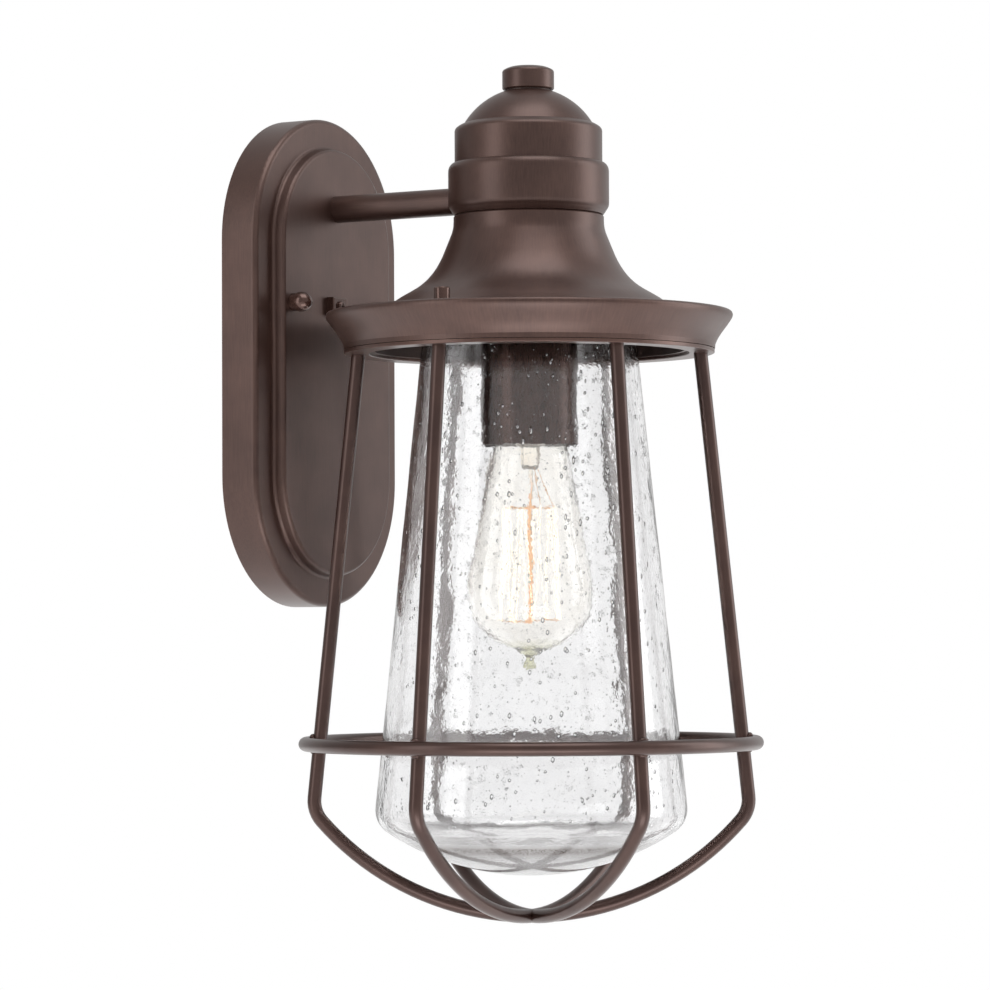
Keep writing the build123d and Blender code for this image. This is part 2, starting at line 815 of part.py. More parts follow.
# Ground wire with a ring lug at each end
lug_z = hood_z + arm_height
lug_y = -(plate_back - washer_thick - lug_thick)
upper_lug_radius = 8.2
lower_lug_radius = 5.2
barrel_radius = 1.7
barrel_length = 6.5
barrel_wire = 0.95
barrel_solid = 1.5             # closed end of a barrel, before the wire
upper_barrel_y = lug_y + lug_thick / 2 + barrel_radius - lug_thick
lower_barrel_y = -bar_face - lug_thick / 2 - barrel_radius
upper_barrel_z = lug_z - upper_lug_radius + 0.3
lower_barrel_z = lower_lug_radius - 0.3
with BuildPart() as ground_lugs:
    with BuildSketch(arm_plane(lug_face)):
        Circle(upper_lug_radius)
        Circle(pipe_clear, mode=Mode.SUBTRACT)
    extrude(amount=lug_thick)
    with BuildSketch(Plane(origin=(0, upper_barrel_y, upper_barrel_z), z_dir=(0, 0, -1))):
        Circle(barrel_radius)
    extrude(amount=barrel_length)
    with BuildSketch(Plane(origin=(0, upper_barrel_y, upper_barrel_z - barrel_solid), z_dir=(0, 0, -1))):
        Circle(barrel_wire)
    extrude(amount=barrel_length, mode=Mode.SUBTRACT)
    with BuildSketch(box_plane(bar_face)):
        with Locations((ground_x, 0)):
            Circle(lower_lug_radius)
            Circle(ground_radius + thread_gap, mode=Mode.SUBTRACT)
    extrude(amount=lug_thick)
    with BuildSketch(Plane(origin=(ground_x, lower_barrel_y, lower_barrel_z))):
        Circle(barrel_radius)
    extrude(amount=barrel_length)
    with BuildSketch(Plane(origin=(ground_x, lower_barrel_y, lower_barrel_z + barrel_solid))):
        Circle(barrel_wire)
    extrude(amount=barrel_length, mode=Mode.SUBTRACT)
save(ground_lugs, "ground_lugs")

wire_start = barrel_solid + 0.2
ground_route = (
    (0, upper_barrel_y, upper_barrel_z - wire_start),
    (0, upper_barrel_y, lug_z - 18),
    (ground_x / 2, -12.0, lug_z - 26),
    (ground_x, lower_barrel_y, 20.0),
    (ground_x, lower_barrel_y, lower_barrel_z + wire_start),
)
with BuildPart() as ground_wire:
    add(tube(ground_route, [5.0, 12.0, 5.0], wire_radius))
save(ground_wire, "ground_wire")

# ---------------------------------------------------------------- cage

arc_centre = cage_bottom + cage_arc
lean = 1 + rod_slope**2
reach = rod_top_radius + rod_slope * -arc_centre
elbow_root = sqrt((rod_slope * reach) ** 2 - lean * (reach**2 - cage_arc**2))
elbow_drop = (elbow_root - rod_slope * reach) / lean
elbow_radius = reach + rod_slope * elbow_drop
elbow_height = arc_centre - elbow_drop
elbow_angle = degrees(asin(elbow_radius / cage_arc))
rod_headroom = 4.0


def make_rod(name, angle):
    """Bent cage rod, cut flush under the ring and mitred to its neighbours on the axis."""
    outward = toward(angle)
    side_plane = Plane(origin=(0, axis_y, hood_z), x_dir=outward, z_dir=outward.cross(up))
    with BuildPart() as rod:
        with BuildLine(side_plane) as path:
            top = (rod_top_radius - rod_slope * rod_headroom, rod_headroom)
            straight = Line(top, (elbow_radius, elbow_height))
            CenterArc((0, arc_centre), cage_arc, -90 + elbow_angle, -elbow_angle - 3)
            fillet(path.vertices().sort_by_distance(straight @ 1)[0], cage_bend)
        with BuildSketch(Plane(origin=path.wire() @ 0, z_dir=path.wire() % 0)):
            Circle(rod_radius)
        sweep(path=path.wire())
        half_sector = 180 / rod_count
        far = 2 * hoop_radius
        with BuildSketch(level(0)):
            with BuildLine():
                corners = (around(far, angle - half_sector), around(far, angle + half_sector))
                Polyline((0, 0), *corners, close=True)
            make_face()
        extrude(amount=cage_bottom - 2 * rod_radius, mode=Mode.INTERSECT)
    save(rod, name)


rod_names = ("front_right", "right", "rear_right", "rear_left", "left", "front_left")
for index, rod_name in enumerate(rod_names):
    make_rod(f"cage_rod_{rod_name}", 30 + 60 * index)

with BuildPart() as cage_hoop:
    with BuildSketch(half_section):
        with Locations((hoop_radius, hoop_height)):
            Circle(rod_radius)
    revolve(axis=lantern_axis)
save(cage_hoop, "cage_hoop")

seat_screw_angles = (0, 120, 240)
seat_screw_radius = 78.5
stud_places = (around(cage_stud_radius, -90), around(cage_stud_radius, 90))
screw_places = tuple(around(seat_screw_radius, angle) for angle in seat_screw_angles)
blind = 1.4                    # depth of the ring's blind tapped holes
stud_fit = 0.02
seat_screw_hole = 1.45
seat_screw_shank = 1.4
seat_screw_clear = 1.6
seat_screw_head = 2.8
seat_screw_height = 1.7
end_play = 0.1                 # free depth under a stud or screw in its blind hole
with BuildPart() as cage_top_ring:
    with BuildSketch(level(0)):
        Circle(ring_outer)
        Circle(ring_inner, mode=Mode.SUBTRACT)
    extrude(amount=ring_thick)
    fillet(cage_top_ring.edges().group_by(Axis.Z)[0], 0.4)
    with BuildSketch(level(ring_thick)):
        with Locations(*stud_places):
            Circle(stud_radius + stud_fit)
        with Locations(*screw_places):
            Circle(seat_screw_hole)
    extrude(amount=-blind, mode=Mode.SUBTRACT)
save(cage_top_ring, "cage_top_ring")

seat_foot = 1.2                # sheet thickness of the seat ring
seat_top = 10.2
seat_inner = 52.0
seat_riser = 71.0
seat_outer = 82.3
seat_clear = 0.3
with BuildPart() as glass_seat_ring:
    add(
        turned(
            (
                (seat_inner, seat_top - seat_foot),
                (seat_riser, seat_top - seat_foot),
                (seat_riser, ring_thick),
                (seat_outer, ring_thick),
                (seat_outer, ring_thick + seat_foot),
                (seat_riser + seat_foot, ring_thick + seat_foot),
                (seat_riser + seat_foot, seat_top),
                (seat_inner, seat_top),
            )
        )
    )
    with BuildSketch(level(ring_thick)):
        with Locations(*stud_places):
            Circle(stud_radius + seat_clear)
        with Locations(*screw_places):
            Circle(seat_screw_clear)
    extrude(amount=seat_foot, mode=Mode.SUBTRACT)
save(glass_seat_ring, "glass_seat_ring")

with BuildPart() as seat_screws:
    with BuildSketch(level(ring_thick - blind + end_play)):
        with Locations(*screw_places):
            Circle(seat_screw_shank)
    extrude(amount=blind - end_play + seat_foot)
    with BuildSketch(level(ring_thick + seat_foot)):
        with Locations(*screw_places):
            Circle(seat_screw_head)
    extrude(amount=seat_screw_height)
    fillet(seat_screws.faces().group_by(Axis.Z)[-1].edges(), seat_screw_height / 2)
save(seat_screws, "seat_screws")

cage_stud_top = 24.0
with BuildPart() as cage_studs:
    with BuildSketch(level(ring_thick - blind + end_play)):
        with Locations(*stud_places):
            Circle(stud_radius)
    extrude(amount=cage_stud_top - ring_thick + blind - end_play)
save(cage_studs, "cage_studs")

thumb_radius = 3.6
thumb_height = 6.2
thumb_bevel = 0.5


def make_thumb_nut(name, angle):
    """Blind thumb nut on top of the brim."""
    place = around(cage_stud_radius, angle)
    with BuildPart() as nut:
        with BuildSketch(level(brim_top + gap)):
            with Locations(place):
                Circle(thumb_radius)
        extrude(amount=thumb_height)
        chamfer(nut.faces().sort_by(Axis.Z)[-1].edges(), thumb_bevel)
        with BuildSketch(level(brim_top + gap)):
            with Locations(place):
                Circle(stud_radius + thread_gap)
        extrude(amount=cage_stud_top - brim_top + bore_play, mode=Mode.SUBTRACT)
    save(nut, name)


make_thumb_nut("thumb_nut_left", -90)
make_thumb_nut("thumb_nut_right", 90)

# ---------------------------------------------------------------- glass shade


def shade_radius(height, inset):
    """Radius of the tapered side, inside or outside."""
    return shade_side + shade_slope * (shade_datum - height) - inset


def shade_form(inset, top):
    """Closed turned form of the shade's outside, or of its hollow when inset by the wall."""
    dome = shade_arc - inset
    dome_centre_height = shade_bottom + shade_arc
    foot_height = -214.4
    for _ in range(8):
        foot_height = dome_centre_height - sqrt(dome**2 - shade_radius(foot_height, inset) ** 2)
    foot = (shade_radius(foot_height, inset), foot_height)
    with BuildPart() as form:
        with BuildSketch(half_section) as face:
            with BuildLine():
                Polyline((0, shade_bottom + inset), (0, top), (shade_radius(top, inset), top), foot)
                RadiusArc(foot, (0, shade_bottom + inset), dome)
            make_face()
            corner = face.vertices().sort_by_distance(half_section.from_local_coords(Vector(*foot)))[0]
            fillet(corner, shade_corner - inset)
        revolve(axis=lantern_axis)
    return form.part


lip_edge = 0.8                 # small bevel round the glass lip
lip_root = 1.0                 # the lip starts this deep inside the wall
with BuildPart() as glass_shade:
    add(shade_form(0, shade_top))
    add(
        turned(
            (
                (shade_radius(shade_top, lip_root), shade_top - lip_height),
                (lip_radius - lip_edge, shade_top - lip_height),
                (lip_radius, shade_top - lip_height + lip_edge),
                (lip_radius, shade_top - lip_edge),
                (lip_radius - lip_edge, shade_top),
                (shade_radius(shade_top, lip_root), shade_top),
            )
        )
    )
    add(shade_form(shade_wall, shade_top + 1), mode=Mode.SUBTRACT)
save(glass_shade, "glass_shade")

gasket_outer = 57.5
gasket_inner = 49.0
with BuildPart() as glass_gasket:
    with BuildSketch(level(seat_top)):
        Circle(gasket_outer)
        Circle(gasket_inner, mode=Mode.SUBTRACT)
    extrude(amount=shade_top - lip_height - seat_top)
    fillet(glass_gasket.faces().sort_by(Axis.Z)[-1].outer_wire().edges(), 1.0)
save(glass_gasket, "glass_gasket")

# ---------------------------------------------------------------- bulb

bulb_wall = 0.9
bulb_widest = 29.0
bulb_widest_height = -108.0
bulb_neck = cap_radius - 0.05  # glass at the cap's mouth
bulb_mouth = 11.6
tip_height = -144.4
tip_inner = -135.6             # lowest point of the hollow
with BuildPart() as bulb_glass:
    with BuildSketch(half_section):
        with BuildLine():
            Line((bulb_mouth, cap_bottom), (bulb_neck, cap_bottom))
            Spline(
                (bulb_neck, cap_bottom),
                (17.05, -43.6),
                (22.05, -68.2),
                (26.8, -93.0),
                (bulb_widest, bulb_widest_height),
                (25.7, -122.0),
                (14.5, -132.4),
                (5.4, -136.4),
                (2.1, -140.6),
                (0, tip_height),
                tangents=((1, -1), (-1, 0)),
            )
            Line((0, tip_height), (0, tip_inner))
            Spline(
                (0, tip_inner),
                (13.6, -131.6),
                (24.8, -121.6),
                (bulb_widest - bulb_wall, bulb_widest_height),
                (26.8 - bulb_wall, -92.9),
                (22.05 - bulb_wall, -68.1),
                (17.05 - bulb_wall, -44.0),
                (bulb_mouth, cap_bottom),
                tangents=((1, 0), (-1, 1.2)),
            )
        make_face()
    revolve(axis=lantern_axis)
save(bulb_glass, "bulb_glass")

cap_shoulder = 7.5
cap_sheet = 0.6
cap_slope = 3.0                # drop of the cap's shoulder
insulator_inset = 0.9
insulator_height = 2.6
insulator_top = 5.0
contact_radius = 4.6
with BuildPart() as bulb_cap:
    with BuildSketch(half_section):
        with BuildLine():
            Polyline(
                (cap_radius - cap_sheet, cap_bottom),
                (cap_radius, cap_bottom),
                (cap_radius, cap_top - cap_slope),
                (cap_shoulder, cap_top),
                (cap_shoulder, cap_top - cap_sheet),
                (cap_radius - cap_sheet, cap_top - cap_slope - cap_sheet / 2),
                close=True,
            )
        make_face()
    revolve(axis=lantern_axis)
save(bulb_cap, "bulb_cap")

with BuildPart() as bulb_insulator:
    add(
        turned(
            (
                (0, cap_top - insulator_inset),
                (cap_shoulder - thread_gap, cap_top - insulator_inset),
                (cap_shoulder - thread_gap, cap_top),
                (insulator_top, cap_top + insulator_height),
                (0, cap_top + insulator_height),
            )
        )
    )
save(bulb_insulator, "bulb_insulator")

with BuildPart() as bulb_contact:
    with BuildSketch(level(cap_top + insulator_height)):
        Circle(contact_radius)
    extrude(amount=cap_contact_height - insulator_height)
    fillet(bulb_contact.faces().sort_by(Axis.Z)[-1].edges(), 1.0)
save(bulb_contact, "bulb_contact")

stem_top = -38.5
press_top = -44.5
press_foot = -51.5
hub_upper = -70.0
hub_lower = -122.5
rod_thin = 0.9
hub_radius = 2.6
hub_half = 0.8
with BuildPart() as bulb_stem:
    add(
        turned(
            (
                (0, stem_top),
                (9.0, stem_top),
                (8.2, stem_top - 1.2),
                (4.9, press_top),
                (4.7, press_foot),
                (3.0, press_foot - 1.4),
                (rod_thin, press_foot - 1.4),
                (rod_thin, hub_upper + hub_half),
                (hub_radius, hub_upper + hub_half),
                (hub_radius, hub_upper - hub_half),
                (rod_thin, hub_upper - hub_half),
                (rod_thin, hub_lower + hub_half),
                (hub_radius, hub_lower + hub_half),
                (hub_radius, hub_lower - hub_half),
                (0, hub_lower - hub_half),
            )
        )
    )
save(bulb_stem, "bulb_stem")

# Filament: one fine wire zigzagging between hooks round the upper and lower hubs
strand_count = 18
strand_step = 18.0             # degrees from one bend to the next
bend_half = 2.4                # degrees from the middle of a bend to either strand
filament_top_radius = 12.2
filament_foot_radius = 14.2
filament_radius = 0.16
filament_bend = 0.4
hook_radius = 0.22


def hook_place(index, turn=0.0):
    """Middle of a filament bend, alternately at the upper and the lower hub, or a turn beside it."""
    angle = strand_step * index + turn
    if index % 2 == 0:
        x, y = around(filament_top_radius, angle)
        return Vector(x, axis_y + y, hood_z + hub_upper)
    x, y = around(filament_foot_radius, angle)
    return Vector(x, axis_y + y, hood_z + hub_lower)


def straight_wire(start, end, radius):
    """Straight round wire between two points."""
    with BuildPart() as form:
        with BuildSketch(Plane(origin=start, z_dir=end - start)):
            Circle(radius)
        extrude(amount=(end - start).length)
    return form.part


filament_route = [hook_place(0)]
for index in range(1, strand_count):
    filament_route.append(hook_place(index, -bend_half))
    filament_route.append(hook_place(index, bend_half))
filament_route.append(hook_place(strand_count))
with BuildPart() as bulb_filament:
    add(tube(filament_route, filament_bend, filament_radius))
save(bulb_filament, "bulb_filament")

# Hooks from the hubs to the filament's bends, and the two lead-in wires from the press
with BuildPart() as bulb_supports:
    for index in range(1, strand_count):
        bend = hook_place(index)
        hub = Vector(0, axis_y, bend.Z)
        ray = (bend - hub).normalized()
        add(straight_wire(hub + ray * (hub_radius + 0.02), bend - ray * 0.4, hook_radius))
    for index in (0, strand_count):
        bend = hook_place(index)
        ray = Vector(bend.X, bend.Y - axis_y, 0).normalized()
        start = Vector(0, axis_y, hood_z + press_foot - 0.9) + ray * 4.2
        run = bend - start
        add(straight_wire(start, start + run * (1 - 0.5 / run.length), hook_radius))
save(bulb_supports, "bulb_supports")
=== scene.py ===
import json
import math
import random

import bmesh
import bpy
from mathutils import Matrix, Vector, noise


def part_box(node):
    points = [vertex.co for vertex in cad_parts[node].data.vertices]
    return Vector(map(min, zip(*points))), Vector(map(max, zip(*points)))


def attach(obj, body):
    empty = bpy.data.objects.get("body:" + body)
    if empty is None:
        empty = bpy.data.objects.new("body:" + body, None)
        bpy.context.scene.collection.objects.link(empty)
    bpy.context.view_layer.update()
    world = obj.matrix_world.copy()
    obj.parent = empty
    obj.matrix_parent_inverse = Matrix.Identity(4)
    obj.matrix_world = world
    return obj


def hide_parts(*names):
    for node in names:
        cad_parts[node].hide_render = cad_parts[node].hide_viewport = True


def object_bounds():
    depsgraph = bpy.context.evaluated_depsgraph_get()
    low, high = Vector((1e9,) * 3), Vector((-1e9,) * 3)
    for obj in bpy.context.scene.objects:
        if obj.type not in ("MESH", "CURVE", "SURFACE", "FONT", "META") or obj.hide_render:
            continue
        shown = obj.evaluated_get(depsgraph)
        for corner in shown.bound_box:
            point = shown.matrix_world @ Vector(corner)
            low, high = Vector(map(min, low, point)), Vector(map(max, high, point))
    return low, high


# Looks of the outdoor wall lantern: satin bronze metal, seeded glass and a lit filament bulb.
# Metres. +Z is up, the wall is the plane Y = 0 and the lantern projects towards -Y.

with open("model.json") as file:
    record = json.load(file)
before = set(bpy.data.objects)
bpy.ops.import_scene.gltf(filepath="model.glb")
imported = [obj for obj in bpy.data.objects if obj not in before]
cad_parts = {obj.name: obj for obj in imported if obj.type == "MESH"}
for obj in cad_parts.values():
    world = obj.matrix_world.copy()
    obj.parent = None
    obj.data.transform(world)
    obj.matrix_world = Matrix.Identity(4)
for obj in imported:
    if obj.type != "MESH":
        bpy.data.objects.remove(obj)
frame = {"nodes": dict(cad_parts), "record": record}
cad_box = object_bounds()
nodes = frame["nodes"]
mm = 0.001

# ---------------------------------------------------------------- places from the frame

shade_low, shade_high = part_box("glass_shade")
shade_top = 17 * mm                       # top of the glass above the hood's underside
axis_y = (shade_low.y + shade_high.y) / 2
hood_z = shade_high.z - shade_top         # underside of the hood
bulb_foot_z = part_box("bulb_glass")[0].z
centre = Vector((0, axis_y, hood_z))      # on the lantern's axis


def around(radius, angle, height):
    """Place at a radius, direction (0 degrees is the front, 90 the right) and height."""
    turn = math.radians(angle)
    return centre + Vector((radius * math.sin(turn), -radius * math.cos(turn), height))


# ---------------------------------------------------------------- material kit

flat_edge = 0.99                 # how well the softened normal agrees with the true one on open faces
sharp_edge = 0.86                # and on a sharp edge


class Nodes:
    """A new material, with short ways to add and join its nodes."""

    def __init__(self, name):
        self.material = bpy.data.materials.new(name)
        self.material.use_nodes = True
        self.tree = self.material.node_tree
        self.shader = self.tree.nodes["Principled BSDF"]
        self.place = self.add("ShaderNodeTexCoord").outputs["Object"]

    def add(self, kind, **settings):
        item = self.tree.nodes.new(kind)
        for key, value in settings.items():
            setattr(item, key, value)
        return item

    def put(self, source, target):
        """Joins an output to an input, or sets the input to a plain value."""
        if isinstance(source, bpy.types.NodeSocket):
            self.tree.links.new(source, target)
        else:
            target.default_value = source

    def set(self, **values):
        """Plain values or outputs for the shader's inputs, by their names."""
        for key, value in values.items():
            self.put(value, self.shader.inputs[key.replace("_", " ")])

    def math(self, operation, first, second=0.0, third=0.0):
        item = self.add("ShaderNodeMath", operation=operation)
        for socket, value in zip(item.inputs, (first, second, third)):
            self.put(value, socket)
        return item.outputs[0]

    def vector(self, operation, *values):
        """Vector sum, or the one number that a length or a dot product gives."""
        item = self.add("ShaderNodeVectorMath", operation=operation)
        for socket, value in zip(item.inputs, values):
            self.put(value, socket)
        return item.outputs["Value" if operation in ("LENGTH", "DOT_PRODUCT") else "Vector"]

    def split(self, vector):
        """The three outputs X, Y and Z of a vector."""
        item = self.add("ShaderNodeSeparateXYZ")
        self.put(vector, item.inputs[0])
        return item.outputs

    def stretched(self, scale):
        """Object coordinates scaled along each axis."""
        item = self.add("ShaderNodeMapping")
        self.put(self.place, item.inputs["Vector"])
        item.inputs["Scale"].default_value = scale
        return item.outputs[0]

    def noise(self, size, detail=3.0, place=None, roughness=0.55, distortion=0.0):
        """Noise with features of about the given size in metres."""
        item = self.add("ShaderNodeTexNoise")
        self.put(self.place if place is None else place, item.inputs["Vector"])
        item.inputs["Scale"].default_value = 1 / size
        item.inputs["Detail"].default_value = detail
        item.inputs["Roughness"].default_value = roughness
        item.inputs["Distortion"].default_value = distortion
        return item.outputs["Fac"]

    def cells(self, size):
        """Distance to the nearest of scattered points, about the given size in metres apart."""
        item = self.add("ShaderNodeTexVoronoi")
        self.put(self.place, item.inputs["Vector"])
        item.inputs["Scale"].default_value = 1 / size
        return item.outputs["Distance"]

    def span(self, value, low, high, to_low=0.0, to_high=1.0):
        """Value mapped from one range to another, and held at the ends."""
        item = self.add("ShaderNodeMapRange")
        amounts = {"Value": value, "From Min": low, "From Max": high, "To Min": to_low, "To Max": to_high}
        for key, amount in amounts.items():
            self.put(amount, item.inputs[key])
        return item.outputs[0]

    def mix(self, factor, first, second):
        """First colour where the factor is 0, second where it is 1."""
        item = self.add("ShaderNodeMix", data_type="RGBA")
        factor_input, first_input, second_input = item.inputs[0], item.inputs[6], item.inputs[7]
        self.put(factor, factor_input)
        self.put(first, first_input)
        self.put(second, second_input)
        return item.outputs[2]

    def bump(self, height, depth, below=None, strength=1.0):
        """Normal raised by a height pattern, depth metres at most."""
        item = self.add("ShaderNodeBump")
        item.inputs["Distance"].default_value = depth
        item.inputs["Strength"].default_value = strength
        self.put(height, item.inputs["Height"])
        if below is not None:
            self.put(below, item.inputs["Normal"])
        return item.outputs[0]

    def edges(self, width):
        """1 on sharp edges, 0 on open faces."""
        soft = self.add("ShaderNodeBevel", samples=4)
        soft.inputs["Radius"].default_value = width
        true = self.add("ShaderNodeNewGeometry").outputs["Normal"]
        agreement = self.vector("DOT_PRODUCT", soft.outputs[0], true)
        return self.span(agreement, flat_edge, sharp_edge)


def rgb(red, green, blue):
    return (red, green, blue, 1.0)


# ---------------------------------------------------------------- bronze finish

bronze_base = rgb(0.074, 0.036, 0.028)
bronze_dark = rgb(0.048, 0.021, 0.016)
# Pale colour of worn edges and of the painted highlight along edges
bronze_worn_and_highlit = rgb(0.200, 0.112, 0.082)
bronze_metallic = 0.72
lacquer_gloss = 0.06             # the clear coat is this much smoother than the paint
brush_width = 0.45 * mm
brush_depth = 0.009 * mm
brush_colour = 0.22              # share of the pale edge colour in the brush lines
grit_size = 0.32 * mm
grit_colour = 0.2                # share of dark colour in the grit
cloud_size = 26 * mm             # patches of deeper tone
chip_size = 2.2 * mm             # breaks in the wear and painted highlight along the edges
worn_and_highlit_width = 0.5 * mm
worn_polish = 0.1
peel_size = 1.6 * mm             # orange-peel waves of the paint
peel_depth = 0.02 * mm
drum_radius = 40 * mm            # turned brush lines have their true width at this radius
drum_stretch = 0.06
grain_scales = {"upright": (1, 1, 0.03), "outward": (1, 0.03, 1), "plain": (1, 1, 0.25)}


def turned_place(kit):
    """Coordinates that run around the lantern's axis, so streaks follow its height."""
    x, y, z = kit.split(kit.vector("SUBTRACT", kit.place, centre))
    joined = kit.add("ShaderNodeCombineXYZ")
    kit.put(kit.math("MULTIPLY", kit.math("ARCTAN2", x, y), drum_radius), joined.inputs["X"])
    kit.put(kit.math("MULTIPLY", z, drum_stretch), joined.inputs["Z"])
    return joined.outputs[0]


def toned(colour, tone):
    return [value * tone for value in colour[:3]] + [1.0]


def bronze(name, grain, tone=1.0, rough=0.4, wear_and_highlight=0.6, coat=0.55, grain_depth=1.0):
    """Oiled bronze paint over steel: fine brush lines, mottled tone and paler edges, partly wear and partly
    painted highlight.
    """
    kit = Nodes(name)
    along = turned_place(kit) if grain == "turned" else kit.stretched(grain_scales[grain])
    brush = kit.noise(brush_width, 4, along, 0.7)
    cloud = kit.span(kit.noise(cloud_size, 3), 0.34, 0.68)
    grit = kit.span(kit.noise(grit_size, 2), 0.58, 0.72, 0.0, grit_colour * grain_depth)
    lines = kit.span(brush, 0.35, 0.75, 0.0, brush_colour * grain_depth)
    colour = kit.mix(cloud, toned(bronze_dark, tone), toned(bronze_base, tone))
    colour = kit.mix(lines, colour, bronze_worn_and_highlit)
    colour = kit.mix(grit, colour, bronze_dark)
    chips = kit.span(kit.noise(chip_size, 4), 0.38, 0.62, 0.25, 1.0)
    # Paler edges: partly wear, partly painted highlight where the edges catch light
    worn_and_highlit = kit.math("MULTIPLY", kit.edges(worn_and_highlit_width), kit.math("MULTIPLY", chips, wear_and_highlight))
    colour = kit.mix(worn_and_highlit, colour, bronze_worn_and_highlit)
    roughness = kit.span(brush, 0.3, 0.8, rough - 0.06, rough + 0.09)
    roughness = kit.math("SUBTRACT", roughness, kit.math("MULTIPLY", worn_and_highlit, worn_polish))
    peel = kit.bump(kit.noise(peel_size, 2), peel_depth, strength=0.5 * grain_depth)
    relief = kit.bump(brush, brush_depth, peel, 0.6 * grain_depth)
    kit.set(Base_Color=colour, Roughness=roughness, Normal=relief, Metallic=bronze_metallic)
    kit.set(Coat_Weight=coat, Coat_Roughness=rough - lacquer_gloss)
    return kit.material


# ---------------------------------------------------------------- other metals, plastics and clay

spangle_size = 3.0 * mm
scratch_size = 0.3 * mm
scratch_depth = 0.01 * mm
stain_size = 6 * mm
plated_edge = 0.25 * mm          # width of the brighter edges
skin_size = 0.8 * mm
skin_depth = 0.02 * mm
tone_size = 9 * mm
dust_size = 2.5 * mm
dust_colour = rgb(0.42, 0.40, 0.38)
pore_size = 0.9 * mm
pore_depth = 0.15 * mm


def plated(name, light, dark, rough):
    """Plated or bare metal with spangled tone, fine scratches and a few stains."""
    kit = Nodes(name)
    scratches = kit.noise(scratch_size, 5, roughness=0.75)
    spangle = kit.span(kit.cells(spangle_size), 0.1, 0.8, 0.0, 0.5)
    stain = kit.span(kit.noise(stain_size, 4), 0.55, 0.75, 0.0, 0.5)
    colour = kit.mix(stain, kit.mix(spangle, light, dark), dark)
    colour = kit.mix(kit.math("MULTIPLY", kit.edges(plated_edge), 0.5), colour, light)
    roughness = kit.span(scratches, 0.3, 0.75, rough - 0.08, rough + 0.14)
    relief = kit.bump(scratches, scratch_depth, strength=0.35)
    kit.set(Base_Color=colour, Roughness=roughness, Normal=relief, Metallic=1.0)
    return kit.material


def moulded(name, light, dark, rough, coat=0.0):
    """Moulded plastic, rubber or fired clay: a fine skin with dust and tone changes."""
    kit = Nodes(name)
    skin = kit.noise(skin_size, 4)
    cloud = kit.span(kit.noise(tone_size, 3), 0.3, 0.7)
    dust = kit.span(kit.noise(dust_size, 5), 0.56, 0.74, 0.0, 0.25)
    colour = kit.mix(dust, kit.mix(cloud, dark, light), dust_colour)
    roughness = kit.span(skin, 0.3, 0.7, rough - 0.07, rough + 0.1)
    relief = kit.bump(skin, skin_depth, strength=0.7)
    kit.set(Base_Color=colour, Roughness=roughness, Normal=relief, Coat_Weight=coat)
    return kit.material


def foam(name):
    """Closed-cell foam with open pores."""
    kit = Nodes(name)
    pores = kit.cells(pore_size)
    # Darker towards the pores' middles: painted shade in their hollows
    colour = kit.mix(kit.span(pores, 0.05, 0.5), rgb(0.015, 0.015, 0.015), rgb(0.075, 0.073, 0.07))
    roughness = kit.span(pores, 0, 0.6, 0.8, 0.95)
    kit.set(Base_Color=colour, Roughness=roughness, Normal=kit.bump(pores, pore_depth))
    return kit.material


# ---------------------------------------------------------------- glass and filament

shade_side = 49.4 * mm           # the side's outer radius at the datum height
shade_datum = 3.7 * mm           # above the hood's underside
shade_slope = 0.103              # the side's growth in radius for each unit down
shade_wall = 3 * mm

# The thicker base of the shade, by height above its lowest point
base_top = 26 * mm
base_full = 3 * mm
reflection_ring_height = 13.2 * mm          # middle of the greyest ring of painted reflection of the hoop and rods and painted shade
reflection_ring_fade = 4.5 * mm             # from that middle to where the ring ends
reflection_ring_core = 1.0 * mm             # from that middle to where it starts to fade
base_reflection_grey = 0.33                 # painted grey of the rest of the base, where the ring's is 1
reflection_grey_cover = 0.86                # share of the clear glass that the full painted grey takes
film_cover = 0.19                # share that the film on the inside takes

shade_tint = rgb(0.993, 0.992, 0.995)
shade_deeper = rgb(0.983, 0.982, 0.987)
# Brownish grey of the painted reflection of the hoop and rods and of painted shade in the base
painted_reflection_grey = rgb(0.060, 0.041, 0.031)
ripple_size = 7 * mm
ripple_depth = 0.10 * mm
ripple_stretch = (1, 1, 0.7)
pebble_size = 1.9 * mm
pebble_depth = 0.035 * mm
speck_size = 0.7 * mm
glass_dust_size = 3 * mm
sag_size = 14 * mm               # slow unevenness of the bulb's thin glass
sag_depth = 0.25 * mm
smudge_size = 5 * mm
bulb_glow = rgb(1.0, 0.96, 0.89)
wire_grit_size = 0.2 * mm
wire_grit_depth = 0.01 * mm


def shade_base(kit):
    """How far a place is down in the shade's thicker base, and how grey the painted reflection and shade
    make the base there.
    """
    above_foot = kit.math("SUBTRACT", kit.split(kit.place)["Z"], shade_low.z)
    base = kit.span(above_foot, base_top, base_full)
    from_ring = kit.math("ABSOLUTE", kit.math("SUBTRACT", above_foot, reflection_ring_height))
    reflection_ring = kit.span(from_ring, reflection_ring_fade, reflection_ring_core)
    return base, kit.math("MAXIMUM", reflection_ring, kit.math("MULTIPLY", base, base_reflection_grey))


def shade_inside(kit):
    """1 on the shade's inner face as seen from its hollow, 0 elsewhere."""
    level = kit.vector("MULTIPLY", kit.vector("SUBTRACT", kit.place, centre), (1, 1, 0))
    drop = kit.math("SUBTRACT", hood_z + shade_datum, kit.split(kit.place)["Z"])
    mid_wall = kit.math("MULTIPLY_ADD", drop, shade_slope, shade_side - shade_wall / 2)
    inner = kit.math("LESS_THAN", kit.vector("LENGTH", level), mid_wall)
    from_behind = kit.add("ShaderNodeNewGeometry").outputs["Backfacing"]
    return kit.math("MULTIPLY", inner, kit.math("SUBTRACT", 1.0, from_behind))


